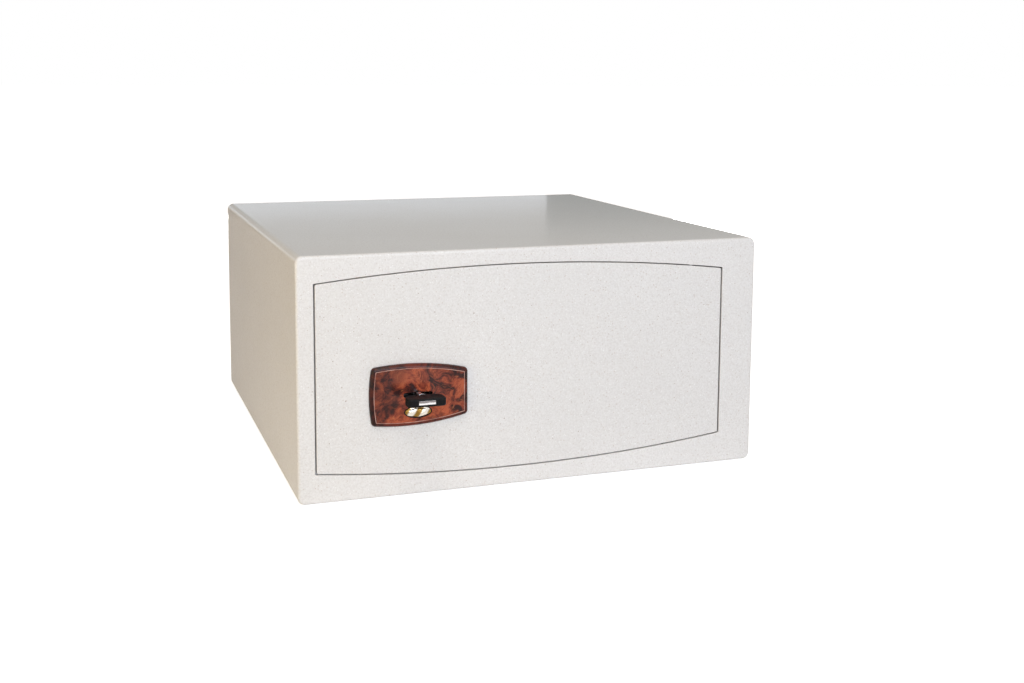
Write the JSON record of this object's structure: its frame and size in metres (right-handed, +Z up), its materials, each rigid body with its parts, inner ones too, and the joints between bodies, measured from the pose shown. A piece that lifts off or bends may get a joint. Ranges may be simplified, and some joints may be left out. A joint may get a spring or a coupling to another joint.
{
  "type": "hotel safe",
  "caption": "Low steel safe with a flush bowed door on a concealed hinge, a burl-look lock plate, a double-bit key, lever lock and sliding bolts.",
  "frame": {"origin": "middle of the casing's footprint, on the underside", "axes": "+Z up, the door faces -Y, +X is to the right as one faces the door"},
  "size_m": [0.405, 0.453, 0.2],
  "materials": {
    "casing_paint": "warm off-white powder coat with a fine orange peel",
    "door_paint": "warm off-white powder coat with a fine speckle",
    "felt": "dark grey needled felt",
    "zinc_steel": "zinc plated",
    "bright_steel": "ground and polished",
    "black_steel": "blackened, worn bright at the edges",
    "brass": "polished",
    "burl": "lacquered burl look",
    "black_plastic": "fine moulded grain"
  },
  "bodies": {
    "casing": {"body_shell": "casing_paint", "front_frame": "casing_paint", "back_panel": "casing_paint", "floor_mat": "felt", "door_stop_upper": "casing_paint", "door_stop_lower": "casing_paint", "gap_strip": "casing_paint", "hinge_bracket_upper": "zinc_steel", "hinge_bracket_lower": "zinc_steel", "hinge_pin_upper": "bright_steel", "hinge_pin_lower": "bright_steel", "hinge_ball": "bright_steel"},
    "door": {"door_plate": "door_paint", "hinge_lug_upper": "zinc_steel", "hinge_lug_lower": "zinc_steel", "dog_upper": "zinc_steel", "dog_lower": "zinc_steel", "lock_plate": "burl", "keyhole_liner": "black_steel", "oval_stud": "brass", "lock_case": "zinc_steel", "lock_cover": "zinc_steel", "cover_screw_1": "bright_steel", "cover_screw_2": "bright_steel", "lever_post": "bright_steel", "lever_springs": "bright_steel", "bolt_guide_upper": "zinc_steel", "bolt_guide_lower": "zinc_steel", "door_pan": "casing_paint", "pan_stud_1": "zinc_steel", "pan_stud_2": "zinc_steel", "pan_stud_3": "zinc_steel", "pan_stud_4": "zinc_steel", "pan_screw_1": "bright_steel", "pan_screw_2": "bright_steel", "pan_screw_3": "bright_steel", "pan_screw_4": "bright_steel"},
    "levers": {"lever_1": "brass", "lever_2": "brass", "lever_3": "brass", "lever_4": "brass", "lever_5": "brass", "lever_6": "brass"},
    "bolts": {"lock_bolt": "brass", "bolt_stump": "bright_steel", "bolt_bar": "zinc_steel", "bar_screw": "bright_steel", "bolt_upper": "bright_steel", "bolt_lower": "bright_steel"},
    "rotor": {"key_curtain": "black_steel"},
    "key": {"key_blank": "bright_steel", "key_head": "black_plastic"}
  },
  "joints": [
    {"name": "door_swing", "type": "hinge", "parent": "casing", "child": "door", "pos_m": [0.1415, -0.20575, 0.1], "axis": [0, 0, 1], "range_deg": [0, 95]},
    {"name": "key_turn", "type": "hinge", "parent": "door", "child": "rotor", "pos_m": [-0.10525, -0.2, 0.08425], "axis": [0, 1, 0], "range_deg": [0, 180]},
    {"name": "bolt_throw", "type": "slide", "parent": "door", "child": "bolts", "axis": [-1, 0, 0], "range_m": [0, 0.01]},
    {"name": "key_pull", "type": "slide", "parent": "rotor", "child": "key", "axis": [0, -1, 0], "range_m": [0, 0.05]},
    {"name": "lever_drop", "type": "hinge", "parent": "door", "child": "levers", "pos_m": [-0.07225, -0.19, 0.08425], "axis": [0, -1, 0], "range_deg": [0, 3.5]}
  ],
  "couplings": [
    {"joint": "key_turn", "follows": "bolt_throw", "rad_per_m": 314.15}
  ]
}
